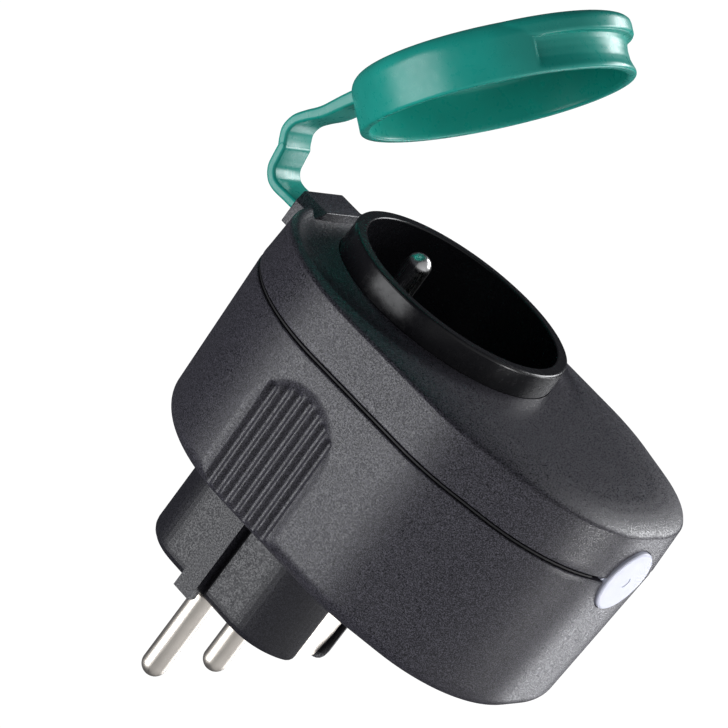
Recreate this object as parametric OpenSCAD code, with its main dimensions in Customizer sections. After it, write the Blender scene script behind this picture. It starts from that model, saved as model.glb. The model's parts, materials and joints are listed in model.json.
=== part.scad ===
// Outdoor smart plug: a wall plug with a lidded socket on its front.
// Frame: +Z up, +Y into the wall, -Y towards the person, X across.
// Origin: centre of the plug's contact face, midway between the two pins.

/* [Body] */
// Radius of the body's upper end, about the socket axis
top_r = 31.6; // [30:0.1:34]
// Radius of the lower flanks
flank_r = 31.2; // [30:0.1:33]
// How far the flank centre lies below the socket axis
flank_drop = 21.6; // [18:0.1:25]
// Radius of the two lower corners
corner_r = 25.2; // [22:0.1:27]
// Half the distance between the corner centres
corner_x = 3; // [1:0.1:5]
// How far the corner centres lie below the socket axis
corner_drop = 30.3; // [28:0.1:33]
// Depth of the rear face behind the plug's contact face
rear_y = 22.4; // [20:0.1:25]
// Depth of the seam between the two housings
seam_y = 54; // [50:0.1:58]
// Width of the groove along the seam
seam_gap = 0.8; // [0.6:0.1:1.2]
// Wall thickness of the housings
wall = 2.2; // [1.8:0.1:2.6]
// Radius of the rounded rear edge
rear_round = 4.3; // [3:0.1:6]
// How much the sides close in towards the rear
rear_draft = 1; // [0.5:0.1:1.5]
// Depth of the sharp front edge
edge_y = 63; // [61:0.1:64]
// Depth of the front deck at the foot of the socket ring
deck_y = 64.8; // [64.4:0.1:66]

/* [Grip] */
// Ribs on each grip patch
grip_grooves = 7; // [5:1:9]
// Distance from groove to groove
grip_pitch = 2.4; // [2:0.1:2.8]
// Width of a groove
groove_w = 1.4; // [1:0.1:1.6]
// Height of the grip's middle, from the socket axis
grip_z = -4.3; // [-8:0.1:0]
// Radius of the grip patch's rounded front end
grip_r = 10.2; // [9:0.1:12]
// Depth of the front end of the longest groove
grip_tip_y = 47.8; // [44:0.1:50]

/* [Plug] */
// Radius of a contact pin
pin_r = 2.4; // [2.4:0.05:2.4]
// Distance between the two pins
pin_pitch = 19; // [19:0.1:19]
// Length of a pin beyond the contact face
pin_length = 19; // [18.5:0.1:19.5]
// Height of the earth hole and the earth pin above the pins
earth_z = 10; // [10:0.1:10]
// Half height of the plug base, and radius of its collar at the rear face
base_r = 19; // [18.5:0.1:19.5]
// Distance from the middle to each side flat of the plug base
base_flat = 13.3; // [12.5:0.1:14]
// Radius of the plug base's four long corners
base_corner = 11; // [9:0.1:12]
// Radius of the edge round the contact face
face_round = 2.4; // [1.5:0.1:3]

/* [Socket] */
// Outer radius of the socket ring
ring_r = 22; // [21.5:0.1:22.3]
// Radius of the socket recess
recess_r = 19.8; // [19.5:0.1:20]
// Depth of the ring's front rim
rim_y = 69.7; // [69:0.1:71]
// Depth of the recess from its rim
recess_depth = 17; // [15.5:0.1:17.5]
// Depth of the earth pin's tip
earth_tip_y = 69.5; // [67:0.1:70]

/* [Button] */
// Radius of the round button
button_r = 6.15; // [6:0.05:6.4]
// How far the button travels
button_travel = 0.6; // [0.4:0.1:0.8]

/* [Lid] */
// Outer radius of the lid
lid_r = 24.05; // [23.8:0.05:24.5]
// Height of the lid
lid_h = 10; // [9:0.1:11]
// Wall thickness of the lid
lid_wall = 1.7; // [1.5:0.1:1.7]
// Width of the strap that carries the lid
strap_w = 8.6; // [8:0.1:10]
// Thickness of the strap
strap_t = 1.8; // [1.5:0.1:2]
// Turn of the strap's foot between shut and open as drawn, in degrees
root_turn = 13.62; // [10:0.02:14]
// Turn at the strap's bend between shut and open as drawn, in degrees
bend_turn = 40.86; // [30:0.02:41]

/* [Hidden] */
$fn = 72;
eps = 0.01;
spread = pin_pitch / 2;
rear_rim = seam_y - seam_gap / 2;
front_rim = seam_y + seam_gap / 2;
button_z = -corner_drop - corner_r;
inner_deck = deck_y - 3;
floor_y = rim_y - recess_depth;
cup_back = floor_y - 2.4;
screw_spots = [[21.8, 13.6], [-21.8, 13.6], [20.5, -38], [-20.5, -38]];
lug_spots = [[24.3, 0], [-24.3, 0], [0, -24.3]];
// Radius of a pin inside the plastic that holds it
neck_r = pin_r - 0.1;
board_y = 33;
board_t = 1.6;
// Strap foot, drawn in [depth, height]; the strap's bend is given with the lid shut
root = [61, 31];
shut_bend = [68.84, 41.7];
// The strap twists a little as it bends: the line it bends about, with the lid shut
bend_axis = [-0.998, -0.022, -0.0592];
open_bend = turned(shut_bend, root, root_turn);

// ---- outlines and helpers ----

// Points of an arc about [cx, cz]
function arc_points(cx, cz, r, from, to, n) =
    [for (i = [0:n]) let (a = from + (to - from) * i / n) [cx + r * cos(a), cz + r * sin(a)]];

// Angles at which the side leaves one arc of the outline for the next
side_leave = asin((flank_r - top_r) / flank_drop);
corner_dx = corner_x;
corner_dz = flank_drop - corner_drop;
corner_leave = atan2(corner_dz, corner_dx)
    + acos((flank_r - corner_r) / norm([corner_dx, corner_dz]));

// Right half of the body's front outline, drawn inside the true one by inset
function half_outline(inset) = concat(
    arc_points(0, 0, top_r - inset, 90, side_leave, 24),
    arc_points(0, -flank_drop, flank_r - inset, side_leave, corner_leave, 6),
    arc_points(corner_x, -corner_drop, corner_r - inset, corner_leave, -90, 14));

// Whole outline: the right half and its mirror image
function outline(inset) = let (half = half_outline(inset), last = len(half) - 1)
    concat(half, [for (i = [last:-1:1]) [-half[i][0], half[i][1]]]);

// Outline of the plug base: a box with four long round corners
function base_outline(inset) =
    let (x = base_flat - base_corner, z = base_r - base_corner, r = base_corner - inset)
    concat(arc_points(x, z, r, 0, 90, 16), arc_points(-x, z, r, 90, 180, 16),
        arc_points(-x, -z, r, 180, 270, 16), arc_points(x, -z, r, 270, 360, 16));

// A [depth, height] point turned about a centre, in the lid's opening direction
function turned(p, about, angle) = let (v = p - about)
    about + [v[0] * cos(angle) - v[1] * sin(angle), v[0] * sin(angle) + v[1] * cos(angle)] ;

// Closed outline of a ribbon along a line of points, from thickness t to t_end
function ribbon(path, t, t_end = 0, cap = false) = let (n = len(path) - 1,
    last = t_end > 0 ? t_end : t,
    half = [for (i = [0:n]) (t + (last - t) * i / n) / 2],
    side = [for (i = [0:n]) let (a = path[max(i - 1, 0)], b = path[min(i + 1, n)], d = (b - a) / norm(b - a))
        [-d[1], d[0]] * half[i]])
    concat([for (i = [0:n]) path[i] + side[i]],
        cap ? round_end(path[n], path[n] - path[n - 1], half[n]) : [],
        [for (i = [n:-1:0]) path[i] - side[i]]);

// Half circle that closes a ribbon's end
function round_end(p, d, r) = let (aim = atan2(d[1], d[0]))
    [for (k = [1:7]) p + r * [cos(aim + 90 - 22.5 * k), sin(aim + 90 - 22.5 * k)]];

// Draws a front-view shape between two depths, the first nearer the wall
module plate(near, far) {
    translate([0, -near, 0]) rotate([90, 0, 0]) linear_extrude(far - near) children();
}

// Slice of the body outline, for a hull
module slice(inset, depth) {
    plate(depth, depth + eps) polygon(outline(inset));
}

// Round bar along the depth at [x, z]
module bar(r, near, far, x = 0, z = 0) {
    translate([x, -near, z]) rotate([90, 0, 0]) cylinder(r = r, h = far - near);
}

// Round bar along the height at [x, depth]
module post(r, low, high, x = 0, depth = 0) {
    translate([x, -depth, low]) cylinder(r = r, h = high - low);
}

// Box from its limits: x, then depth, then height
module box(x0, x1, near, far, z0, z1) {
    translate([x0, -far, z0]) cube([x1 - x0, far - near, z1 - z0]);
}

// Draws a [depth, height] side-view shape across a width
module side_plate(width) {
    rotate([0, 0, -90]) rotate([90, 0, 0]) translate([0, 0, -width / 2]) linear_extrude(width) children();
}

// Draws a [radius, depth] profile round the socket axis
module turned_profile() {
    rotate([90, 0, 0]) rotate_extrude() children();
}

// Turns children about an X line at [depth, height] in the opening direction
module swing(about, angle) {
    translate([0, -about[0], about[1]]) rotate([-angle, 0, 0]) translate([0, about[0], -about[1]]) children();
}

// Carries what is drawn with the lid shut to where it is open
module lid_place() {
    swing(root, root_turn) translate([0, -shut_bend[0], shut_bend[1]]) rotate(a = bend_turn, v = bend_axis)
        translate([0, shut_bend[0], -shut_bend[1]]) children();
}

// ---- housings ----

// Room that both housings leave for the button and its seal
module button_room() {
    post(button_r + 0.2, button_z - 5, button_z + 6, 0, seam_y);
    post(8.25, button_z + 3.45, button_z + 12, 0, seam_y);
}

// Shallow patch with upright grooves on one side of the rear housing
module grip_cut() {
    lean = atan2(rear_draft, rear_rim - rear_y - rear_round);
    first = grip_z - grip_pitch * (grip_grooves - 1) / 2;
    translate([top_r, -rear_rim, 0]) rotate([0, 0, lean]) translate([0, rear_rim, 0]) {
        intersection() {
            box(-0.7, 3, rear_y - 3, grip_tip_y + 2, -30, 30);
            union() {
                translate([-3, -(grip_tip_y + 2 - grip_r), grip_z]) rotate([0, 90, 0])
                    cylinder(r = grip_r, h = 8);
                box(-3, 4, rear_y - 4, grip_tip_y + 2 - grip_r, grip_z - grip_r, grip_z + grip_r);
            }
        }
        for (i = [0:grip_grooves - 1]) {
            off = first + i * grip_pitch - grip_z;
            box(-1.5, 3, rear_y - 3, grip_tip_y - off * off * 0.045,
                grip_z + off - groove_w / 2, grip_z + off + groove_w / 2);
        }
    }
}

module rear_housing() color("#2b2a2e") {
    steps = 5;
    difference() {
        union() {
            difference() {
                hull() {
                    slice(0, rear_rim - eps);
                    for (i = [0:steps]) {
                        a = 90 * i / steps;
                        slice(rear_draft + rear_round * (1 - cos(a)), rear_y + rear_round * (1 - sin(a)));
                    }
                }
                hull() {
                    slice(wall, rear_rim + 1);
                    slice(rear_draft + wall, rear_y + rear_round);
                    slice(rear_draft + wall + 1, rear_y + wall + 0.6);
                    slice(rear_draft + wall + 2.2, rear_y + wall);
                }
            }
            for (p = screw_spots) bar(3.5, rear_y + 1, rear_rim, p[0], p[1]);
            for (x = [-20, 20]) bar(2.2, rear_y + 1, board_y, x, -14);
        }
        for (p = screw_spots) {
            bar(2.7, rear_y - 2, 44, p[0], p[1]);
            bar(1.35, 43, rear_rim + 1, p[0], p[1]);
        }
        bar(base_r + 0.05, rear_y - 1, rear_y + wall + 1);
        button_room();
        grip_cut();
        mirror([1, 0, 0]) grip_cut();
    }
}

// Block at the top of the front cover that holds the strap's foot
module hinge_block() {
    intersection() {
        plate(58.2, 64.3) polygon([[-8.6, 27], [-8.6, 32.2], [-6, 33.3], [6, 33.3], [8.6, 32.2], [8.6, 27]]);
        translate([0, 0, 26]) linear_extrude(9)
            polygon([[-8.6, -57], [-8.6, -62.9], [-6, -64.3], [6, -64.3], [8.6, -62.9], [8.6, -57]]);
    }
}

module front_cover() color("#2b2a2e") {
    difference() {
        union() {
            difference() {
                hull() {
                    slice(0, front_rim);
                    slice(0.5, edge_y - 0.1);
                    slice(0.8, edge_y + 0.3);
                    slice(1.5, edge_y + 0.62);
                    slice(3, edge_y + 1.03);
                    slice(5, edge_y + 1.4);
                    slice(7.5, edge_y + 1.67);
                    slice(12, deck_y - eps);
                }
                // Dish round the hinge side of the ring, fading out towards the button
                translate([0, -deck_y - 6, 0]) rotate([-2.6, 0, 0]) rotate([90, 0, 0])
                    rotate_extrude() translate([26.3, 0]) circle(r = 7);
                hull() {
                    slice(wall, front_rim - 1);
                    slice(wall + 0.4, edge_y - 2.8);
                    slice(wall + 1.2, edge_y - 1.7);
                    slice(wall + 2.6, inner_deck);
                }
            }
            for (p = screw_spots) bar(3.2, front_rim, inner_deck + 0.5, p[0], p[1]);
            intersection() {
                hinge_block();
                box(-12, 12, front_rim, deck_y, 26, 40);
            }
        }
        for (p = screw_spots) bar(1.25, front_rim - 1, 61.2, p[0], p[1]);
        for (p = lug_spots) bar(0.95, inner_deck - 1, inner_deck + 1.4, p[0], p[1]);
        bar(ring_r + 0.12, inner_deck - 8, deck_y + 3);
        // Pocket for the strap's foot, and the holes for its pin
        box(-strap_w / 2 - 0.7, strap_w / 2 + 0.7, root[0] - 2.1, root[0] + 2.1, root[1] - 2.1, 40);
        translate([-7.8, -root[0], root[1]]) rotate([0, 90, 0]) cylinder(r = 1, h = 15.6);
        button_room();
    }
}

module housing_seal() color("#1b1b1d") {
    difference() {
        union() {
            plate(seam_y - 0.15, seam_y + 0.15) polygon(outline(0.3));
            plate(rear_rim, front_rim) polygon(outline(0.9));
        }
        plate(rear_rim - 1, front_rim + 1) polygon(outline(wall - 0.3));
        box(-9.5, 9.5, rear_rim - 1, front_rim + 1, button_z - 2, button_z + 12);
    }
}

module housing_screws() color("#b9bcc2") {
    for (p = screw_spots) {
        bar(2.4, 42.1, 44, p[0], p[1]);
        bar(1.2, 43.9, 60.6, p[0], p[1]);
    }
}

// ---- plug side ----

module plug_base() color("#242428") {
    steps = 5;
    difference() {
        union() {
            // Body with a rounded edge round its face
            hull() {
                for (i = [0:steps]) {
                    a = 90 * i / steps;
                    plate(face_round * (1 - sin(a)), face_round * (1 - sin(a)) + eps)
                        polygon(base_outline(face_round * (1 - cos(a))));
                }
                plate(20, 20 + eps) polygon(base_outline(0));
            }
            bar(base_r, 19.5, rear_y + wall + eps);
            bar(base_r + 1.5, rear_y + wall, rear_y + wall + 1.6);
            // Guide ribs beside the side slots, standing a little proud of the face
            for (s = [-1, 1]) box(min(s * 13.1, s * 15.1), max(s * 13.1, s * 15.1), -0.8, 20, -0.5, 3.6);
        }
        // Hollow behind the contact face, with the sleeves that grip the pins left standing
        difference() {
            intersection() {
                bar(16.4, 3, rear_y + 6);
                box(-11.2, 11.2, 3, rear_y + 6, -15, 15);
            }
            for (x = [-spread, spread]) bar(4.2, 2, 22, x, 0);
        }
        // Side slots
        for (s = [-1, 1]) box(min(s * 12.1, s * 20), max(s * 12.1, s * 20), -2, 19.4, -1.7, -0.5);
        // Notches for the earth clips and the slots their strips pass through
        for (s = [-1, 1]) {
            box(-5, 5, -2, 19, min(s * 16.2, s * 21), max(s * 16.2, s * 21));
            box(-4.4, 4.4, 16.6, 19, min(s * 12, s * 17), max(s * 12, s * 17));
        }
        for (x = [-spread, spread]) {
            bar(pin_r + 0.25, -1, 0.6, x, 0);
            bar(neck_r, -1, 20, x, 0);
            bar(3.05, 20, rear_y + 6, x, 0);
        }
        bar(3, -1, 4, 0, earth_z);
    }
}

// Contact pin with a ball end, a shoulder and a tail that reaches the board
module contact_pin(x) {
    translate([x, pin_length - pin_r, 0]) sphere(r = pin_r);
    bar(pin_r, pin_r - pin_length, 0, x, 0);
    bar(neck_r, -eps, 20, x, 0);
    bar(3, 20, 22, x, 0);
    bar(1.4, 21.9, board_y + board_t + 0.8, x, 0);
}

module live_pin() color("#c9c2b4") contact_pin(-spread);

module neutral_pin() color("#c9c2b4") contact_pin(spread);

// One springy strip: across behind the base and out along both edges
module earth_bracket() color("#cfcabd") {
    back = rear_y + wall + 2.2;
    bow = [for (i = [0:8]) [16.6 - 15.6 * i / 8, 16.9 + 0.6 * sin(180 * i / 8)]];
    path = concat([[back, 0], [back, 14.2], [17.8, 14.2], [17.6, 16.4]], bow);
    for (s = [0, 1]) mirror([0, 0, s]) side_plate(8) polygon(ribbon(path, 0.7));
}

module plug_earth_contact() color("#cfa85a") {
    difference() {
        union() {
            bar(3.2, 3.1, rear_y + wall + 1.8, 0, earth_z);
            bar(3.7, rear_y + wall + 1, rear_y + wall + 1.8, 0, earth_z);
        }
        bar(2.5, 3, 21, 0, earth_z);
    }
}

// ---- socket side ----

module socket_cup() color("#17171a") {
    difference() {
        union() {
            // Wall with a flat rim, rounded at both edges
            turned_profile() polygon(concat([[recess_r - 1, cup_back], [ring_r, cup_back]],
                arc_points(ring_r - 0.5, rim_y - 0.5, 0.5, 0, 90, 4),
                arc_points(recess_r + 0.3, rim_y - 0.3, 0.3, 90, 180, 3),
                [[recess_r, floor_y], [recess_r - 1, floor_y]]));
            bar(recess_r, cup_back, floor_y);
            // Flange under the deck with three screw lugs
            difference() {
                union() {
                    bar(24.6, inner_deck - 2, inner_deck);
                    for (p = lug_spots) bar(2.4, inner_deck - 2, inner_deck, p[0], p[1]);
                }
                bar(ring_r - 0.5, inner_deck - 3, inner_deck + 1);
                for (p = screw_spots) bar(3.5, inner_deck - 3, inner_deck + 1, p[0], p[1]);
            }
        }
        for (p = lug_spots) bar(1.1, inner_deck - 3, inner_deck + 1, p[0], p[1]);
        for (x = [-spread, spread]) bar(2.9, cup_back - 1, floor_y + 1, x, 0);
        bar(pin_r - 0.2, cup_back - 1, floor_y + 1, 0, earth_z);
    }
}

module cup_screws() color("#b9bcc2") {
    for (p = lug_spots) {
        bar(1.7, inner_deck - 3.5, inner_deck - 2, p[0], p[1]);
        bar(0.9, inner_deck - 2.1, inner_deck + 1.3, p[0], p[1]);
    }
}

module socket_earth_pin() color("#c9c9c6") {
    translate([0, -earth_tip_y + pin_r, earth_z]) sphere(r = pin_r);
    bar(pin_r, floor_y + 0.3, earth_tip_y - pin_r, 0, earth_z);
    bar(pin_r - 0.2, cup_back, floor_y + 0.4, 0, earth_z);
    bar(3.4, cup_back - 1.8, cup_back, 0, earth_z);
    bar(1.6, 37.4, cup_back - 1.7, 0, earth_z);
}

// Spring contact: two leaves that pinch a plug pin, with a tail to the board
module spring_contact(x) {
    leaf = concat([for (i = [0:6]) [2.95 - 0.35 * sin(180 * i / 6), 49.2 - 7.4 * i / 6]], [[2.95, 41]]);
    path = concat(leaf, [for (i = [len(leaf) - 1:-1:0]) [-leaf[i][0], leaf[i][1]]]);
    translate([x, 0, -3]) linear_extrude(6) polygon([for (p = ribbon(path, 0.6)) [p[0], -p[1]]]);
    box(x - 1.4, x + 1.4, board_y - 0.8, 41.2, 1.6, 2.4);
}

module live_contact() color("#cfa85a") spring_contact(-spread);

module neutral_contact() color("#cfa85a") spring_contact(spread);

module contact_carrier() color("#e4e2da") {
    difference() {
        bar(17, 39, cup_back - 0.05);
        for (x = [-spread, spread]) {
            box(x - 4, x + 4, 40, cup_back + 1, -3.8, 3.8);
            box(x - 2, x + 2, 38, 41, 1, 3);
        }
        bar(3.6, cup_back - 2.1, cup_back + 1, 0, earth_z);
        bar(1.8, 38, cup_back, 0, earth_z);
        // Lightening pockets
        box(-5, 5, 38, 47.5, -13, -6);
    }
}

module earth_link() color("#cfa85a") {
    start = rear_y + wall + 2.6;
    difference() {
        union() {
            box(-2.5, 2.5, 37.6, 38.4, earth_z - 3, earth_z + 5);
            box(-2.5, 2.5, start, 38.4, earth_z + 4.2, earth_z + 5);
            box(-2.5, 2.5, start, start + 0.8, earth_z - 3, earth_z + 5);
        }
        bar(1.65, 37, 39, 0, earth_z);
    }
}

// ---- electronics ----

module main_board() color("#1f5f3a") {
    difference() {
        union() {
            bar(26.4, board_y, board_y + board_t);
            bar(21.5, board_y, board_y + board_t, 0, -29);
            box(-23, 23, board_y, board_y + board_t, -39, 0);
        }
        for (p = screw_spots) bar(3.8, board_y - 1, board_y + 3, p[0], p[1]);
        for (x = [-spread, spread]) {
            bar(1.5, board_y - 1, board_y + 3, x, 0);
            box(x - 1.6, x + 1.6, board_y - 1, board_y + 3, 0.9, 2.6);
        }
        box(-3, 3, board_y - 1, board_y + 3, earth_z + 3.8, earth_z + 5.4);
        // Holes for the wires of the relay, the resistor and the varistor
        for (p = [[-14, -41], [-3, -41], [-14, -28], [-3, -28], [2.7, -24], [10.3, -24], [-10.3, -33],
            [-10.3, -29]]) bar(0.65, board_y - 1, board_y + 3, p[0], p[1]);
    }
}

module relay() color("#20242c") {
    top = board_y + board_t;
    box(-16, -1, top, top + 15, -43.8, -25);
    for (x = [-14, -3]) for (z = [-41, -28]) bar(0.5, top - 3, top + eps, x, z);
}

module transformer() color("#d9b23a") {
    top = board_y + board_t;
    box(1.5, 14.5, top, top + 2, -40, -26);
    box(3, 13, top + 2, top + 11, -38.5, -27.5);
    box(1.5, 14.5, top + 11, top + 13, -40, -26);
}

module filter_capacitor() color("#2a2f55") {
    top = board_y + board_t;
    bar(3.4, top, top + 11, 8, -45);
    bar(3.1, top + 11, top + 11.3, 8, -45);
}

module surge_varistor() color("#2f63b0") {
    translate([-12, -board_y + 4.1, -31]) rotate([0, 90, 0]) cylinder(r = 3.6, h = 3.4);
    for (z = [-33, -29]) box(-10.6, -10, board_y - 4, board_y + 1.5, z - 0.3, z + 0.3);
}

module fuse_resistor() color("#7c9fb0") {
    translate([2, -board_y + 2.6, -24]) rotate([0, 90, 0]) cylinder(r = 1.7, h = 9);
    for (x = [2.4, 10]) box(x, x + 0.6, board_y - 2.6, board_y + 2, -24.3, -23.7);
}

module radio_module() color("#9fa4aa") {
    top = board_y + board_t;
    box(-8, 8, top, top + 0.8, -23.5, -4);
    box(-6.5, 6.5, top + 0.8, top + 3, -22.5, -9);
}

// Small board across the end of the body, behind the button
switch_z = button_z + 10;

module button_board() color("#1f5f3a") {
    box(-8, 8, 47.6, 60.4, switch_z, switch_z + 1.2);
}

module button_switch() color("#33353b") {
    difference() {
        box(-3, 3, seam_y - 3, seam_y + 3, switch_z - 3.5, switch_z);
        post(1.8, switch_z - 4, switch_z - 1.8, 0, seam_y);
    }
}

module switch_plunger() color("#d8d4c8") {
    post(1.6, button_z + 5.2, switch_z - 2.5, 0, seam_y);
}

module status_led() color("#f2f2ee") {
    box(3.8, 6.6, seam_y - 1.4, seam_y + 1.4, switch_z - 1.2, switch_z);
}

// Pale light-guide cap: skirt, flange and a stem that meets the switch
module button() color("#d6d9ea") {
    translate([0, -seam_y, button_z]) difference() {
        rotate_extrude() polygon([[0, -0.5], [button_r - 1.5, -0.46], [button_r - 0.4, -0.4],
            [button_r - 0.12, -0.3], [button_r, -0.1], [button_r, 4], [7.2, 4], [7.2, 5], [5.2, 5], [5.2, 1.6],
            [1.8, 1.6], [1.8, 5.1], [0, 5.1]]);
        translate([0, 0, -4.4]) cylinder(r = 1, h = 4);
    }
    // Small ear that shows in the seam
    translate([0, 0, button_z + 0.6]) linear_extrude(1)
        polygon([[-7.1, -seam_y - 0.1], [-7.1, -seam_y + 0.1], [0.4 - button_r, -seam_y + 0.3],
            [0.4 - button_r, -seam_y - 0.3]]);
}

module button_seal() color("#1b1b1d") {
    translate([0, -seam_y, button_z]) rotate_extrude()
        polygon([[6.65, 3.5], [8.2, 3.5], [8.2, 7], [7.5, 7], [7.5, 3.9], [6.65, 3.9]]);
}

// ---- lid ----

module hinge_pin() color("#b9bcc2") {
    translate([-7.8, -root[0], root[1]]) rotate([0, 90, 0]) cylinder(r = 1, h = 15.6);
}

// Lower half of the strap, from its foot to the bend
module lid_strap() color("#1fa88f") {
    foot_w = strap_w + 0.8;
    path = concat([root, [60.5, 33.5]], arc_points(62.7, 40.2, 2.55, 180, 105, 5), [open_bend]);
    difference() {
        union() {
            intersection() {
                side_plate(foot_w) polygon(ribbon(path, strap_t, strap_t, true));
                // The strap narrows above the block
                plate(55, 75) polygon([[-foot_w / 2 - 1, 28], [-foot_w / 2, 33.6], [-strap_w / 2, 37],
                    [-strap_w / 2, 50], [strap_w / 2, 50], [strap_w / 2, 37], [foot_w / 2, 33.6],
                    [foot_w / 2 + 1, 28]]);
            }
            translate([-foot_w / 2, -root[0], root[1]]) rotate([0, 90, 0]) cylinder(r = 1.7, h = foot_w);
            // Bead along the line the strap bends about
            swing(root, root_turn) translate([0, -shut_bend[0], shut_bend[1]])
                rotate([0, acos(-bend_axis[2]), atan2(-bend_axis[1], -bend_axis[0])])
                    cylinder(r = 0.98, h = strap_w - 0.2, center = true);
        }
        translate([-strap_w, -root[0], root[1]]) rotate([0, 90, 0]) cylinder(r = 1.06, h = 2 * strap_w);
    }
}

// Cap with a thumb scoop opposite the hinge, and the strap's upper half
module lid() color("#1fa88f") {
    inner_r = lid_r - lid_wall;
    round = 3;
    top = lid_h - 1.8;
    seat = deck_y + 0.25;
    scoop = 42;
    lip_shift = 4;
    lip_r = lid_r + 1.35 - lip_shift;
    lip_span = 47;
    lid_place() translate([0, -seat, 0]) difference() {
        union() {
            turned_profile() polygon(concat([[0, lid_h], [0, top], [inner_r - 1.2, top], [inner_r, top - 1.2],
                [inner_r, 0.3], [inner_r + 0.3, 0], [lid_r - 0.3, 0], [lid_r, 0.3]],
                arc_points(lid_r - round, lid_h - round, round, 0, 90, 7)));
            // Lip that the thumb lifts, on a tighter arc that swells out of the side wall
            translate([0, 0, -lip_shift]) rotate([90, 0, 0]) rotate([0, 0, -90 - lip_span])
                rotate_extrude(angle = 2 * lip_span)
                    polygon([[lip_r - 2, 6.2], [lip_r - 0.4, 6.2], [lip_r, 6.7], [lip_r, 8.4],
                        [lip_r - 0.5, 9.4], [lip_r - 1.7, 9.9], [lip_r - 3, 9.99], [lip_r - 3, 9]]);
        }
        // Hollow under the lip
        rotate([90, 0, 0]) rotate([0, 0, -90 - scoop]) rotate_extrude(angle = 2 * scoop)
            polygon([[lid_r - 0.1, 1], [lid_r - 0.55, 2.4], [lid_r - 0.65, 4.2], [lid_r - 0.45, 5.6],
                [lid_r + 0.1, 6.2], [lid_r + 2, 6.2], [lid_r + 2, 1]]);
    }
    // Strap from the bend over its crest to the cap
    start = open_bend + [1.3, 0.24];
    path = [start, [69.2, 44.75], [70.4, 44.65], [71.5, 44.3], [72.5, 43.7], [73.5, 42.95], [76.2, 40.7], [80, 38.6],
        [83.6, 36.5]];
    side_plate(strap_w) polygon(ribbon(path, strap_t, 2.6));
}

rear_housing();
front_cover();
housing_seal();
housing_screws();
plug_base();
live_pin();
neutral_pin();
earth_bracket();
plug_earth_contact();
socket_cup();
cup_screws();
socket_earth_pin();
live_contact();
neutral_contact();
contact_carrier();
earth_link();
main_board();
relay();
transformer();
filter_capacitor();
surge_varistor();
fuse_resistor();
radio_module();
button_board();
button_switch();
switch_plunger();
status_led();
button();
button_seal();
hinge_pin();
lid_strap();
lid();
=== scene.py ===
import json
import math

import bmesh
import bpy
import numpy as np
from mathutils import Matrix, Vector


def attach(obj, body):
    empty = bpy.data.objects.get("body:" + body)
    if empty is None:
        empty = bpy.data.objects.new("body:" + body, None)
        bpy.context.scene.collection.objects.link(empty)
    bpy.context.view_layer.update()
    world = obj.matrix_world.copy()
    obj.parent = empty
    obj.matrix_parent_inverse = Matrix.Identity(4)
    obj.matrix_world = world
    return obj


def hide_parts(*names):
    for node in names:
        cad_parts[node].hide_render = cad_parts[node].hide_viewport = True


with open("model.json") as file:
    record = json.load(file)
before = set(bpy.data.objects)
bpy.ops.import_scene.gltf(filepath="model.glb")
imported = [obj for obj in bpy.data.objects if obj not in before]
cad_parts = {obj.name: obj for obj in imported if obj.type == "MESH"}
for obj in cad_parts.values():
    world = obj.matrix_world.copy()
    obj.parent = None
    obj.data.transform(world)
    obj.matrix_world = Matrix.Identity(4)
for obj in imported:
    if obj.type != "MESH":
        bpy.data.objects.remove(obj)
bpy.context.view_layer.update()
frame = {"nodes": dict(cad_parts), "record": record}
NODES = frame["nodes"]
MM = 0.001
scene = bpy.context.scene


# ---- camera ----

def make_camera():
    """A long lens below and to the left of the plug, rolled so that the plug leans back."""
    right = Vector((0.5324733, -0.5648611, -0.6304000))
    down = Vector((0.0255753, 0.7551567, -0.6550452))
    forward = Vector((0.8460603, 0.3326714, 0.4165473))
    data = bpy.data.cameras.new("view")
    data.sensor_width = 36.0
    data.lens = 184.68
    data.clip_start = 0.05
    data.clip_end = 20.0
    cam = bpy.data.objects.new("view", data)
    turn = Matrix((right, -down, -forward)).transposed().to_4x4()
    place = Vector((-548.057, -262.925, -262.852)) * MM
    cam.matrix_world = Matrix.Translation(place) @ turn
    scene.collection.objects.link(cam)
    scene.camera = cam
    return right, down, forward


RIGHT, DOWN, FORWARD = make_camera()
MIDDLE = Vector((10, -43, 2)) * MM


# ---- light ----

def soft_light(name, side, down, near, distance, size, power, colour=(1, 1, 1), size_y=None,
               target=MIDDLE, spread=180.0):
    """An area light aimed at a point, its direction given as right, down and towards the camera."""
    away = (RIGHT * side + DOWN * down - FORWARD * near).normalized()
    data = bpy.data.lights.new(name, "AREA")
    data.shape = "RECTANGLE"
    data.size = size
    data.size_y = size_y or size
    data.energy = power
    data.color = colour
    data.spread = math.radians(spread)
    lamp = bpy.data.objects.new(name, data)
    lamp.location = target + away * distance
    lamp.rotation_euler = away.to_track_quat("Z", "Y").to_euler()
    scene.collection.objects.link(lamp)


COOL_WHITE = (0.97, 0.98, 1.0)
BUTTON_FACE = Vector((0, -54, -56)) * MM

soft_light("left box", -0.90, -0.04, 0.43, distance=1.0, size=0.70, power=7.0, colour=COOL_WHITE)
soft_light("back box", 0.88, -0.17, -0.45, distance=1.0, size=0.36, power=8.0, colour=COOL_WHITE,
           size_y=0.72)
soft_light("low edge", 0.52, 0.55, -0.65, distance=1.0, size=0.45, power=2.2, colour=(0.96, 0.97, 1.0))
soft_light("button fill", 0.66, 0.72, 0.22, distance=0.25, size=0.08, power=0.010, target=BUTTON_FACE,
           spread=26.0)

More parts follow.
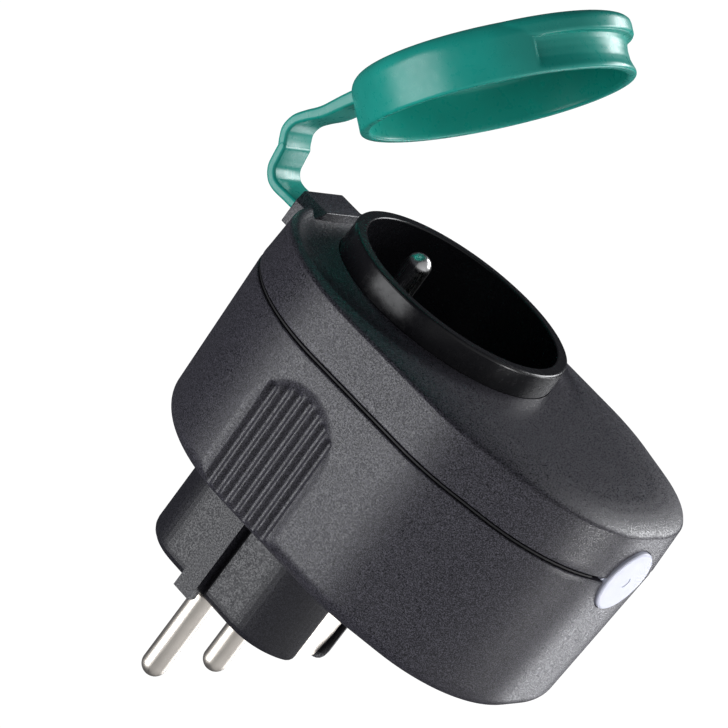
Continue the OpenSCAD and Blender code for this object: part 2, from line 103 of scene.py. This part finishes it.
world = bpy.data.worlds.new("studio")
world.use_nodes = True
wt = world.node_tree
wt.nodes.clear()
w_out = wt.nodes.new("ShaderNodeOutputWorld")
w_mix = wt.nodes.new("ShaderNodeMixShader")
w_path = wt.nodes.new("ShaderNodeLightPath")
w_room = wt.nodes.new("ShaderNodeBackground")
w_back = wt.nodes.new("ShaderNodeBackground")
w_room.inputs["Color"].default_value = (0.86, 0.88, 1.0, 1)
w_room.inputs["Strength"].default_value = 0.06
w_back.inputs["Color"].default_value = (1, 1, 1, 1)
w_back.inputs["Strength"].default_value = 1.05
wt.links.new(w_path.outputs["Is Camera Ray"], w_mix.inputs["Fac"])
wt.links.new(w_room.outputs[0], w_mix.inputs[1])
wt.links.new(w_back.outputs[0], w_mix.inputs[2])
wt.links.new(w_mix.outputs[0], w_out.inputs["Surface"])
scene.world = world
scene.view_settings.view_transform = "Standard"
scene.view_settings.look = "None"


# ---- materials ----

class Mat:
    """A procedural material: a Principled shader and short calls that add nodes to it."""

    def __init__(self, name, colour, rough, metallic=0.0, **sockets):
        self.mat = bpy.data.materials.new(name)
        self.mat.use_nodes = True
        self.tree = self.mat.node_tree
        self.tree.nodes.clear()
        self.out = self.tree.nodes.new("ShaderNodeOutputMaterial")
        self.bsdf = self.tree.nodes.new("ShaderNodeBsdfPrincipled")
        self.tree.links.new(self.bsdf.outputs[0], self.out.inputs["Surface"])
        self.bsdf.inputs["Base Color"].default_value = (*colour, 1)
        self.bsdf.inputs["Roughness"].default_value = rough
        self.bsdf.inputs["Metallic"].default_value = metallic
        for key, value in sockets.items():
            self.bsdf.inputs[key.replace("_", " ")].default_value = value
        self.coord = self.tree.nodes.new("ShaderNodeTexCoord")
        self.bump_chain = None

    def stretched(self, scale):
        node = self.tree.nodes.new("ShaderNodeMapping")
        node.inputs["Scale"].default_value = scale
        self.tree.links.new(self.coord.outputs["Object"], node.inputs["Vector"])
        return node.outputs["Vector"]

    def noise(self, scale, detail=2.0, rough=0.5, source=None):
        node = self.tree.nodes.new("ShaderNodeTexNoise")
        node.inputs["Scale"].default_value = scale
        node.inputs["Detail"].default_value = detail
        node.inputs["Roughness"].default_value = rough
        self.tree.links.new(source or self.coord.outputs["Object"], node.inputs["Vector"])
        return node.outputs["Fac"]

    def ramp(self, value, stops):
        node = self.tree.nodes.new("ShaderNodeValToRGB")
        ramp = node.color_ramp
        while len(ramp.elements) < len(stops):
            ramp.elements.new(0.5)
        for element, (at, colour) in zip(ramp.elements, stops):
            element.position = at
            element.color = (*colour, 1) if len(colour) == 3 else colour
        self.tree.links.new(value, node.inputs["Fac"])
        return node.outputs["Color"]

    def grey_ramp(self, value, at0, v0, at1, v1):
        node = self.tree.nodes.new("ShaderNodeMapRange")
        for key, number in zip(("From Min", "From Max", "To Min", "To Max"), (at0, at1, v0, v1)):
            node.inputs[key].default_value = number
        self.tree.links.new(value, node.inputs["Value"])
        return node.outputs["Result"]

    def colour(self, value, stops):
        self.tree.links.new(self.ramp(value, stops), self.bsdf.inputs["Base Color"])

    def roughness(self, value, at0, v0, at1, v1):
        self.tree.links.new(self.grey_ramp(value, at0, v0, at1, v1), self.bsdf.inputs["Roughness"])

    def bump(self, value, strength, distance):
        node = self.tree.nodes.new("ShaderNodeBump")
        node.inputs["Strength"].default_value = strength
        node.inputs["Distance"].default_value = distance
        self.tree.links.new(value, node.inputs["Height"])
        if self.bump_chain is not None:
            self.tree.links.new(self.bump_chain, node.inputs["Normal"])
        self.bump_chain = node.outputs["Normal"]
        self.tree.links.new(self.bump_chain, self.bsdf.inputs["Normal"])


def textured_black(name, dark, glint_colour, rough, grain, depth):
    """Spark-eroded moulded plastic: fine grains whose lighter colour is a painted glint standing in for the
    texture's sparkle, and a slow drift of tone.
    """
    m = Mat(name, dark, rough)
    fine = m.noise(grain, 3.0, 0.65)
    # The lighter grains are painted glints, not a tone of the plastic itself
    m.colour(fine, [(0.44, dark), (0.62, glint_colour)])
    m.roughness(m.noise(grain * 0.7, 2.0), 0.38, rough - 0.16, 0.62, rough + 0.16)
    m.bump(fine, 1.0, depth)
    m.bump(m.noise(60, 2.0), 0.15, 0.00008)
    return m.mat


def smooth_plastic(name, colour, darker, rough, **sockets):
    m = Mat(name, colour, rough, **sockets)
    m.colour(m.noise(90, 3.0), [(0.35, darker), (0.65, colour)])
    m.roughness(m.noise(900, 3.0), 0.3, rough - 0.05, 0.7, rough + 0.06)
    m.bump(m.noise(2600, 2.0), 0.25, 0.000012)
    return m.mat


def plated(name, colour, rough, along):
    """Plated metal with faint drawing lines along the piece."""
    m = Mat(name, colour, rough, 1.0)
    lines = m.noise(1.0, 4.0, 0.6, m.stretched(along))
    m.colour(m.noise(240, 2.0), [(0.3, tuple(c * 0.88 for c in colour)), (0.7, colour)])
    m.roughness(lines, 0.3, rough - 0.06, 0.7, rough + 0.10)
    m.bump(lines, 0.12, 0.00002)
    return m.mat


MATS = {
    # The second colour of each textured black is the painted glint on its grains
    "body_black": textured_black(
        "body_black", (0.004, 0.004, 0.007), (0.115, 0.110, 0.135), 0.37, 5000, 0.00004),
    "base_black": textured_black(
        "base_black", (0.006, 0.006, 0.009), (0.040, 0.039, 0.050), 0.42, 5200, 0.000025),
    "cup_black": smooth_plastic(
        "cup_black", (0.010, 0.010, 0.012), (0.007, 0.007, 0.009), 0.24, Specular_IOR_Level=0.35),
    "seal_rubber": smooth_plastic("seal_rubber", (0.012, 0.012, 0.014), (0.008, 0.008, 0.009), 0.62),
    "nickel": plated("nickel", (0.90, 0.84, 0.76), 0.38, (4000, 120, 4000)),
    "earth_steel": plated("earth_steel", (0.72, 0.72, 0.71), 0.22, (4000, 120, 4000)),
    "screw_steel": plated("screw_steel", (0.62, 0.63, 0.66), 0.35, (2500, 2500, 2500)),
    "brass_contact": plated("brass_contact", (0.78, 0.60, 0.28), 0.32, (300, 2500, 2500)),
    "insulator": smooth_plastic("insulator", (0.80, 0.78, 0.72), (0.74, 0.72, 0.66), 0.55),
    "board_green": smooth_plastic("board_green", (0.04, 0.20, 0.11), (0.025, 0.14, 0.08), 0.40),
    "relay_black": smooth_plastic("relay_black", (0.05, 0.06, 0.08), (0.035, 0.045, 0.06), 0.35),
    "coil_yellow": smooth_plastic("coil_yellow", (0.72, 0.52, 0.12), (0.60, 0.42, 0.08), 0.5),
    "cap_blue": smooth_plastic("cap_blue", (0.05, 0.07, 0.20), (0.03, 0.05, 0.15), 0.3),
    "varistor_blue": smooth_plastic("varistor_blue", (0.07, 0.16, 0.48), (0.05, 0.12, 0.40), 0.3),
    "resistor_grey": smooth_plastic("resistor_grey", (0.30, 0.42, 0.48), (0.22, 0.33, 0.40), 0.45),
    "shield_tin": plated("shield_tin", (0.55, 0.57, 0.60), 0.38, (600, 600, 600)),
    "switch_dark": smooth_plastic("switch_dark", (0.05, 0.05, 0.06), (0.035, 0.035, 0.04), 0.5),
    "plunger_ivory": smooth_plastic("plunger_ivory", (0.80, 0.77, 0.70), (0.72, 0.69, 0.62), 0.45),
    "led_lens": smooth_plastic("led_lens", (0.90, 0.90, 0.86), (0.85, 0.85, 0.80), 0.2),
    "button_lilac": smooth_plastic("button_lilac", (0.70, 0.72, 0.84), (0.66, 0.68, 0.81), 0.42),
    "lid_teal": smooth_plastic("lid_teal", (0.016, 0.44, 0.36), (0.012, 0.38, 0.31), 0.30),
}

SLOT = {row["node"]: row["material_slot"] for row in frame["record"]["subparts"]}


def shade(obj, angle=35.0):
    """Smooth shading that keeps edges sharper than the angle."""
    mesh = obj.data
    mesh.polygons.foreach_set("use_smooth", [True] * len(mesh.polygons))
    mesh.set_sharp_from_angle(angle=math.radians(angle))
    mesh.update()


for name, obj in NODES.items():
    obj.data.materials.clear()
    obj.data.materials.append(MATS[SLOT[name]])
    shade(obj)

# ---- mesh helpers (working in millimetres: x, depth towards the person, height) ----

TOP_R, FLANK_R, FLANK_DROP = 31.6, 31.2, 21.6
CORNER_R, CORNER_X, CORNER_DROP = 25.2, 3.0, 30.3
REAR_Y, REAR_RIM, FRONT_RIM = 22.4, 53.6, 54.4
REAR_ROUND, REAR_DRAFT, WALL = 4.3, 1.0, 2.2
DECK_Y, EDGE_Y, RING_R = 64.8, 63.0, 22.0
BUTTON_Z, SEAM_Y, HOLE_R = -55.5, 54.0, 6.35
PLUG_HOLE_R = 19.05
RIM_ROUND = 0.3
# Ring-shaped dish in the deck: radius of its middle, radius of its section, and lean in degrees
DISH_R, DISH_TUBE, DISH_LEAN = 26.3, 7.0, 2.6
# Hinge block: half width and chamfer start, then the pocket for the strap's foot as (x, depth)
BLOCK_X, BLOCK_CHAMFER_X = 8.6, 6.0
POCKET = [(-5, 58.9), (-5, 63.1), (5, 63.1), (5, 58.9)]
POCKET_LOW, POCKET_HIGH = 28.9, 40.0


def smooth_step(low, high, value):
    t = np.clip((value - low) / (high - low), 0, 1)
    return t * t * (3 - 2 * t)


def body_outline(patch_step):
    """Base points and outward normals of the body's front outline, finer beside the grip patches."""
    leave = math.asin((FLANK_R - TOP_R) / FLANK_DROP)
    drop = (FLANK_DROP - CORNER_DROP, CORNER_X)
    turn = math.atan2(*drop) + math.acos((FLANK_R - CORNER_R) / math.hypot(*drop))
    pts, nrm = [], []

    def add_arc(cx, cz, r, a0, a1, n):
        for a in np.linspace(a0, a1, n, endpoint=False):
            n_ = (math.cos(a), math.sin(a))
            pts.append((cx + r * n_[0], cz + r * n_[1]))
            nrm.append(n_)

    patch_top = math.asin(7.2 / TOP_R)
    add_arc(0, 0, TOP_R, math.pi / 2, patch_top, 40)
    add_arc(0, 0, TOP_R, patch_top, leave, int(7.8 / patch_step))
    n_ = (math.cos(leave), math.sin(leave))
    a = np.array([TOP_R * n_[0], TOP_R * n_[1]])
    b = np.array([FLANK_R * n_[0], -FLANK_DROP + FLANK_R * n_[1]])
    mid = a + (b - a) * (15.5 / 21.6)
    for p, q, count in ((a, mid, int(15.5 / patch_step)), (mid, b, 5)):
        for t in np.linspace(0, 1, count, endpoint=False):
            pts.append(tuple(p + (q - p) * t))
            nrm.append(n_)
    add_arc(0, -FLANK_DROP, FLANK_R, leave, turn, 14)
    add_arc(CORNER_X, -CORNER_DROP, CORNER_R, turn, -math.pi / 2, 34)
    for x in (3.0, 1.5, 0.0):
        pts.append((x, -CORNER_DROP - CORNER_R))
        nrm.append((0.0, -1.0))
    pts, nrm = np.array(pts), np.array(nrm)
    back = slice(len(pts) - 2, 0, -1)
    pts = np.vstack([pts, pts[back] * (-1, 1)])
    nrm = np.vstack([nrm, nrm[back] * (-1, 1)])
    return pts, nrm


def to_row(x, depth, height):
    """Millimetres in (x, depth, height) to metres in the row frame."""
    return np.stack([x, -depth, height], axis=-1) * MM


def loft(name, rings, closed_path=False, caps=False):
    """A quad mesh through rings of equal length; each ring is an (n, 3) array in metres."""
    n, count = len(rings[0]), len(rings)
    verts = np.vstack(rings)
    faces = []
    for k in range(count if closed_path else count - 1):
        a, b = k * n, ((k + 1) % count) * n
        for i in range(n):
            j = (i + 1) % n
            faces.append((a + i, a + j, b + j, b + i))
    if caps:
        faces.append(tuple(range(n - 1, -1, -1)))
        faces.append(tuple((count - 1) * n + i for i in range(n)))
    return mesh_object(name, verts, faces)


def mesh_object(name, verts, faces):
    mesh = bpy.data.meshes.new(name)
    mesh.from_pydata([tuple(v) for v in np.asarray(verts, float)], [], faces)
    bm = bmesh.new()
    bm.from_mesh(mesh)
    bmesh.ops.remove_doubles(bm, verts=bm.verts, dist=1e-7)
    bmesh.ops.recalc_face_normals(bm, faces=bm.faces)
    bm.to_mesh(mesh)
    bm.free()
    obj = bpy.data.objects.new(name, mesh)
    scene.collection.objects.link(obj)
    return obj


def boolean(obj, tool, operation="DIFFERENCE"):
    """Applies an exact boolean and drops the tool."""
    mod = obj.modifiers.new("cut", "BOOLEAN")
    mod.operation = operation
    mod.solver = "EXACT"
    mod.object = tool
    apply_modifiers(obj)
    bpy.data.objects.remove(tool)


def apply_modifiers(obj):
    bpy.context.view_layer.update()
    deps = bpy.context.evaluated_depsgraph_get()
    mesh = bpy.data.meshes.new_from_object(obj.evaluated_get(deps))
    obj.modifiers.clear()
    old = obj.data
    obj.data = mesh
    bpy.data.meshes.remove(old)


def rod(name, radius, low, high, x, depth, sides=96):
    """Upright round rod, used to cut round holes."""
    a = np.linspace(0, 2 * math.pi, sides, endpoint=False)
    across, out = x + radius * np.cos(a), depth + radius * np.sin(a)
    rings = [to_row(across, out, np.full(sides, z)) for z in (low, high)]
    return loft(name, rings, caps=True)


def finish_piece(obj, body, slot, node, angle=35.0):
    obj.data.materials.clear()
    obj.data.materials.append(MATS[slot])
    shade(obj, angle)
    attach(obj, body)
    if node:
        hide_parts(node)
    return obj


# ---- body shells ----

OUT_P, OUT_N = body_outline(0.15)


def inset(amount):
    return OUT_P - amount * OUT_N


def round_hole(radius):
    """A circle with a point in the direction of each outline point, so that no quads cross."""
    a = np.arctan2(OUT_P[:, 1], OUT_P[:, 0])
    return radius * np.stack([np.cos(a), np.sin(a)], axis=-1)


GRIP_Z, GRIP_R, GRIP_TIP, GRIP_PITCH, GRIP_COUNT = -4.3, 10.2, 47.8, 2.4, 7
# Depths of the patch and of its grooves, a groove's half width, and how the tips fall back on a curve
PATCH_SINK, GROOVE_SINK, GROOVE_HALF, TIP_CURVE = 0.7, 1.5, 0.58, 0.045


def grip_relief(x, depth, z):
    """Presses the grip patch and its grooves into one side of the rear housing."""
    plane = TOP_R - REAR_DRAFT * (REAR_RIM - depth) / (REAR_RIM - REAR_Y - REAR_ROUND)
    side = np.abs(x)
    centre = GRIP_TIP + 2 - GRIP_R
    away = np.hypot(np.maximum(depth - centre, 0), z - GRIP_Z)
    patch = smooth_step(-0.3, 2.2, GRIP_R - away)
    side = side - np.maximum(0, side - (plane - PATCH_SINK)) * patch
    groove = np.zeros_like(side)
    for i in range(GRIP_COUNT):
        off = (i - (GRIP_COUNT - 1) / 2) * GRIP_PITCH
        tip = GRIP_TIP - off * off * TIP_CURVE - 0.6
        away = np.hypot(np.maximum(depth - tip, 0), z - GRIP_Z - off)
        groove = np.maximum(groove, smooth_step(-0.50, 0.40, GROOVE_HALF - away))
    side = side - np.maximum(0, side - (plane - GROOVE_SINK)) * groove
    return np.sign(x) * side


def rear_shell():
    rings = []
    n = len(OUT_P)

    def ring(amount, depth, relief=False):
        p = inset(amount)
        x = grip_relief(p[:, 0], np.full(n, depth), p[:, 1]) if relief else p[:, 0]
        rings.append(to_row(x, np.full(n, depth), p[:, 1]))

    def hole(radius, depth):
        p = round_hole(radius)
        rings.append(to_row(p[:, 0], np.full(n, depth), p[:, 1]))

    ring(WALL, REAR_RIM)
    ring(RIM_ROUND, REAR_RIM)
    for a in (30, 60, 90):
        c, s = math.cos(math.radians(a)), math.sin(math.radians(a))
        ring(RIM_ROUND * (1 - s), REAR_RIM - RIM_ROUND * (1 - c))
    side_end = REAR_Y + REAR_ROUND
    plain = np.linspace(52.2, 50, 3)
    gripped = np.arange(49.8, side_end, -0.25)
    for depth in np.concatenate([plain, gripped]):
        ring(REAR_DRAFT * (REAR_RIM - depth) / (REAR_RIM - side_end), depth, True)
    for a in np.linspace(0, 90, 21):
        c, s = math.cos(math.radians(a)), math.sin(math.radians(a))
        ring(REAR_DRAFT + REAR_ROUND * (1 - c), REAR_Y + REAR_ROUND * (1 - s), True)
    ring(6.0, REAR_Y)
    hole(PLUG_HOLE_R, REAR_Y)
    hole(PLUG_HOLE_R, REAR_Y + WALL)
    ring(REAR_DRAFT + WALL + 2.2, REAR_Y + WALL)
    ring(REAR_DRAFT + WALL + 1.0, REAR_Y + WALL + 0.6)
    ring(REAR_DRAFT + WALL, side_end)
    shell = loft("rear_shell", rings, closed_path=True)
    boolean(shell, rod("cut_a", HOLE_R, BUTTON_Z - 5, BUTTON_Z + 6, 0, SEAM_Y))
    return shell


# The front edge rolled over: distance in from the outline, then depth
EDGE_PROFILE = np.array([
    (0.5, 62.9), (0.8, 63.3), (1.5, 63.62), (3, 64.03), (5, 64.4), (7.5, 64.67), (12, 64.79)])


def deck_depth(x, z):
    """Depth of the front deck: rolled over at the outline and dished round the ring's hinge side."""
    near = np.full(len(x), 99.0)
    for k in range(len(OUT_P)):
        near = np.minimum(near, np.hypot(x - OUT_P[k, 0], z - OUT_P[k, 1]))
    base = np.interp(near, EDGE_PROFILE[:, 0], EDGE_PROFILE[:, 1])
    out = np.hypot(x, z) - DISH_R
    lean = z * math.tan(math.radians(DISH_LEAN))
    dish = DECK_Y + 6 - lean - np.sqrt(np.maximum(DISH_TUBE ** 2 - out * out, 0.01))
    soft = 0.25
    h = np.clip(0.5 + 0.5 * (dish - base) / soft, 0, 1)
    return dish + (base - dish) * h - soft * h * (1 - h)


def front_shell():
    rings = []
    n = len(OUT_P)

    def ring(amount, depth):
        p = inset(amount)
        rings.append(to_row(p[:, 0], np.full(n, depth), p[:, 1]))

    ring(WALL, FRONT_RIM)
    ring(RIM_ROUND, FRONT_RIM)
    for a in (30, 60, 90):
        c, s = math.cos(math.radians(a)), math.sin(math.radians(a))
        ring(RIM_ROUND * (1 - s), FRONT_RIM + RIM_ROUND * (1 - c))
    for depth in np.linspace(56, EDGE_Y - 0.3, 5):
        ring(0.5 * (depth - FRONT_RIM) / (EDGE_Y - FRONT_RIM), depth)
    hole = round_hole(RING_R + 0.12)
    for amount in (0.5, 0.56, 0.66, 0.8, 1.0, 1.3, 1.7, 2.2, 3.0):
        p = inset(amount)
        rings.append(to_row(p[:, 0], deck_depth(p[:, 0], p[:, 1]), p[:, 1]))
    start = inset(3.0)
    for t in np.linspace(0, 1, 46)[1:]:
        p = start + (hole - start) * t
        rings.append(to_row(p[:, 0], deck_depth(p[:, 0], p[:, 1]), p[:, 1]))
    rings.append(to_row(hole[:, 0], np.full(n, DECK_Y - 3), hole[:, 1]))
    ring(WALL + 2.6, DECK_Y - 3)
    ring(WALL + 1.2, EDGE_Y - 1.7)
    ring(WALL + 0.4, EDGE_Y - 2.8)
    shell = loft("front_shell", rings, closed_path=True)
    boolean(shell, rod("cut_b", HOLE_R, BUTTON_Z - 5, BUTTON_Z + 6, 0, SEAM_Y))
    boolean(shell, block_tool("cut_c", POCKET, POCKET_LOW, POCKET_HIGH))
    return shell


def block_tool(name, outline, low, high):
    """Upright prism over an outline of (x, depth) points."""
    x, depth = np.array(outline, float).T
    return loft(name, [to_row(x, depth, np.full(len(x), z)) for z in (low, high)], caps=True)


def hinge_block():
    """The block that holds the strap's foot, with its chamfers, pocket and eased edges."""
    w, c = BLOCK_X, BLOCK_CHAMFER_X
    x = np.array([-w, -w, -c, c, w, w])
    z = np.array([27, 32.2, 33.3, 33.3, 32.2, 27.0])
    block = loft("hinge_block", [to_row(x, np.full(6, d), z) for d in (58.2, 64.3)], caps=True)
    top = [(-w, 57), (-w, 62.9), (-c, 64.3), (c, 64.3), (w, 62.9), (w, 57)]
    boolean(block, block_tool("cut_d", top, 26, 35), "INTERSECT")
    boolean(block, block_tool("cut_e", POCKET, POCKET_LOW, POCKET_HIGH))
    bevel = block.modifiers.new("edges", "BEVEL")
    bevel.width = 0.28 * MM
    bevel.segments = 3
    bevel.limit_method = "ANGLE"
    bevel.angle_limit = math.radians(20)
    apply_modifiers(block)
    return block


finish_piece(rear_shell(), "chassis", "body_black", "rear_housing", 50)
finish_piece(front_shell(), "chassis", "body_black", "front_cover", 50)
finish_piece(hinge_block(), "chassis", "body_black", "front_cover", 30)


# ---- lid and strap ----

ROOT = np.array([61.0, 31.0])
SHUT_BEND = np.array([68.84, 41.7])
ROOT_TURN, BEND_TURN = math.radians(13.62), math.radians(40.86)
BEND_AXIS = Vector((-0.998, -0.022, -0.0592)).normalized()


def turned(point, about, angle):
    v = np.asarray(point) - about
    c, s = math.cos(angle), math.sin(angle)
    return about + np.array([v[0] * c - v[1] * s, v[0] * s + v[1] * c])


OPEN_BEND = turned(SHUT_BEND, ROOT, ROOT_TURN)


def about_point(point, turn):
    """A turn about a (depth, height) point."""
    place = Vector((0, -point[0], point[1])) * MM
    return Matrix.Translation(place) @ turn @ Matrix.Translation(-place)


LID_OPEN = about_point(ROOT, Matrix.Rotation(ROOT_TURN, 4, Vector((-1, 0, 0)))) @ \
    about_point(SHUT_BEND, Matrix.Rotation(BEND_TURN, 4, BEND_AXIS))

LID_R, LID_H, LID_WALL, LID_SEAT = 24.05, 10.0, 1.7, DECK_Y + 0.25
LID_ROUND, LID_EDGE = 3.0, 0.45
SCOOP_HALF, LIP_SHIFT = 42.0, 4.0
LIP_R = LID_R + 1.35 - LIP_SHIFT


def lid_cap():
    """The round cap, lathed, with a thumb scoop and lip pressed into the side away from the hinge."""
    sides = 384
    phi = np.linspace(-180, 180, sides, endpoint=False)  # from straight down, shut
    rad = np.radians(phi)
    lip_out = LIP_SHIFT * np.cos(rad) + np.sqrt(np.maximum(LIP_R ** 2 - (LIP_SHIFT * np.sin(rad)) ** 2, 0))
    lip_on = smooth_step(56, 49, np.abs(phi))
    scoop_on = smooth_step(SCOOP_HALF + 0.7, SCOOP_HALF - 0.5, np.abs(phi))
    rings = []

    def ring(radius, height):
        radius = np.broadcast_to(radius, phi.shape)
        x, z = radius * np.sin(rad), -radius * np.cos(rad)
        rings.append(to_row(x, np.full(sides, LID_SEAT + height), z))

    inner = LID_R - LID_WALL
    top_in = LID_H - 1.8
    # Inside, from the rim up to the middle of the top
    for a in (0, 30, 60, 90):
        c, s = math.cos(math.radians(a)), math.sin(math.radians(a))
        ring(inner + LID_EDGE * (1 - s), LID_EDGE * (1 - c))
    for h in np.linspace(1.0, top_in - 1.2, 6):
        ring(inner, h)
    for a in (22, 45, 67, 90):
        c, s = math.cos(math.radians(a)), math.sin(math.radians(a))
        ring(inner - 1.2 * (1 - c), top_in - 1.2 + 1.2 * s)
    for r in (18, 12, 6, 0.02):
        ring(r, top_in)
    # Outside, from the middle of the top down to the rim
    for r in (0.02, 6, 12, 18):
        ring(r, LID_H - 0.05 * (r / 21) ** 2)

    def outer(height, lip):
        above = max(height - (LID_H - LID_ROUND), 0)
        curve = LID_R - LID_ROUND + math.sqrt(max(LID_ROUND ** 2 - above ** 2, 0))
        dent = np.interp(height, [0.8, 1.6, 2.6, 4.2, 5.4, 6.2], [0, 0.3, 0.58, 0.68, 0.56, 0.25])
        base = curve - dent * scoop_on * (height < 6.25)
        ease = np.interp(height, [6.2, 6.35, 6.7, 8.4, 9.0, 9.5, 9.8, 9.95, 10],
                         [0.5, 0.2, 0, 0, 0.15, 0.6, 1.2, 2.0, 3.2])
        edge = np.maximum(curve, curve + (lip_out - ease - curve) * lip_on)
        return base + (edge - base) * lip

    for a in np.linspace(88, 0, 16):
        h = LID_H - LID_ROUND + LID_ROUND * math.sin(math.radians(a))
        ring(outer(h, 1.0), h)
    for h in (6.9, 6.7, 6.5, 6.35, 6.25):
        ring(outer(h, 1.0), h)
    for h, lip in ((6.2, 0.85), (6.18, 0.5), (6.16, 0.15), (6.1, 0.0)):
        ring(outer(h, lip), h)
    for h in np.arange(5.9, 0.6, -0.25):
        ring(outer(h, 0.0), h)
    for a in (0, 30, 60, 90):
        c, s = math.cos(math.radians(a)), math.sin(math.radians(a))
        ring(LID_R - LID_EDGE * (1 - c), LID_EDGE * (1 - s))
    cap = loft("lid_cap", rings, closed_path=True)
    cap.data.transform(LID_OPEN)
    return cap


def spline(points, count):
    """Evenly spaced points on a smooth curve through the given ones."""
    p = np.array(points, float)
    p = np.vstack([2 * p[0] - p[1], p, 2 * p[-1] - p[-2]])
    out = []
    for i in range(1, len(p) - 2):
        a, b, c, d = p[i - 1:i + 3]
        for t in np.linspace(0, 1, 24, endpoint=False):
            square = (2 * a - 5 * b + 4 * c - d) * t * t
            cube = (3 * b - a - 3 * c + d) * t ** 3
            out.append(0.5 * (2 * b + (c - a) * t + square + cube))
    out.append(p[-2])
    out = np.array(out)
    run = np.r_[0, np.cumsum(np.linalg.norm(np.diff(out, axis=0), axis=1))]
    at = np.linspace(0, run[-1], count)
    return np.stack([np.interp(at, run, out[:, k]) for k in range(out.shape[1])], axis=-1)


def ribbon(name, path, widths, thicknesses, round_ends=(False, False)):
    """A strap along a (depth, height) path with rounded long edges; widths and thicknesses go along it."""
    n = len(path)
    step = np.gradient(path, axis=0)
    step /= np.linalg.norm(step, axis=1)[:, None]
    side = np.stack([-step[:, 1], step[:, 0]], axis=-1)
    at = np.linspace(0, 1, n)
    width = np.interp(at, *zip(*widths))
    thick = np.interp(at, *zip(*thicknesses))
    rings = []

    def section(centre, across, w, t, squash=1.0):
        corner = min(0.55, t * 0.45)
        pts = []
        for cx, cy, a0 in ((1, 1, 0), (-1, 1, 90), (-1, -1, 180), (1, -1, 270)):
            for a in np.radians(np.linspace(a0, a0 + 90, 5)):
                pts.append((cx * (w / 2 - corner) + corner * math.cos(a),
                            (cy * (t / 2 - corner) + corner * math.sin(a)) * squash))
        pts = np.array(pts)
        depth = centre[0] + across[0] * pts[:, 1]
        height = centre[1] + across[1] * pts[:, 1]
        return to_row(pts[:, 0], depth, height)

    def cap(index, direction):
        t = thick[index]
        angles = np.linspace(78, 12, 6) if direction < 0 else np.linspace(12, 78, 6)
        for a in np.radians(angles):
            centre = path[index] + direction * step[index] * (t / 2) * math.sin(a)
            rings.append(section(centre, side[index], width[index], t, math.cos(a)))

    if round_ends[0]:
        cap(0, -1)
    for i in range(n):
        rings.append(section(path[i], side[i], width[i], thick[i]))
    if round_ends[1]:
        cap(n - 1, 1)
    return loft(name, rings, caps=True)


def strap_lower():
    path = spline([ROOT, (60.5, 33.6), (60.3, 36.6), (60.22, 39.4), (60.75, 41.2),
                   (62.2, 42.5), (64.1, 42.95), tuple(OPEN_BEND)], 60)
    widths = [(0, 9.4), (0.18, 9.4), (0.38, 8.7), (1, 8.6)]
    thicknesses = [(0, 2.0), (0.2, 1.8), (1, 1.8)]
    return ribbon("strap_lower", path, widths, thicknesses, (True, True))


def strap_upper():
    path = spline([tuple(OPEN_BEND), (67.5, 44.1), (69.2, 44.75), (71.4, 44.35), (73.4, 43.0), (76.2, 40.7),
                   (80, 38.6), (83.6, 36.5)], 60)
    widths = [(0, 8.5), (1, 8.7)]
    thicknesses = [(0, 1.72), (0.3, 1.85), (1, 2.6)]
    return ribbon("strap_upper", path, widths, thicknesses, (True, False))


finish_piece(lid_cap(), "lid", "lid_teal", "lid", 40)
finish_piece(strap_upper(), "lid", "lid_teal", "lid", 50)
finish_piece(strap_lower(), "strap", "lid_teal", "lid_strap", 50)

# ---- floor ----
FLOOR_Z, FLOOR_HALF = -1.2, 4
corners = [(-1, -1), (1, -1), (1, 1), (-1, 1)]
floor = bpy.data.meshes.new("floor")
floor.from_pydata([(FLOOR_HALF * x, FLOOR_HALF * y, FLOOR_Z) for x, y in corners], [], [(0, 1, 2, 3)])
floor_obj = bpy.data.objects.new("floor", floor)
scene.collection.objects.link(floor_obj)
glow = {"Emission_Color": (1, 1, 1, 1), "Emission_Strength": 0.28}
pale = Mat("pale_floor", (0.86, 0.86, 0.87), 0.7, **glow)
pale.colour(pale.noise(3, 2.0), [(0.3, (0.84, 0.84, 0.85)), (0.7, (0.88, 0.88, 0.89))])
floor.materials.append(pale.mat)
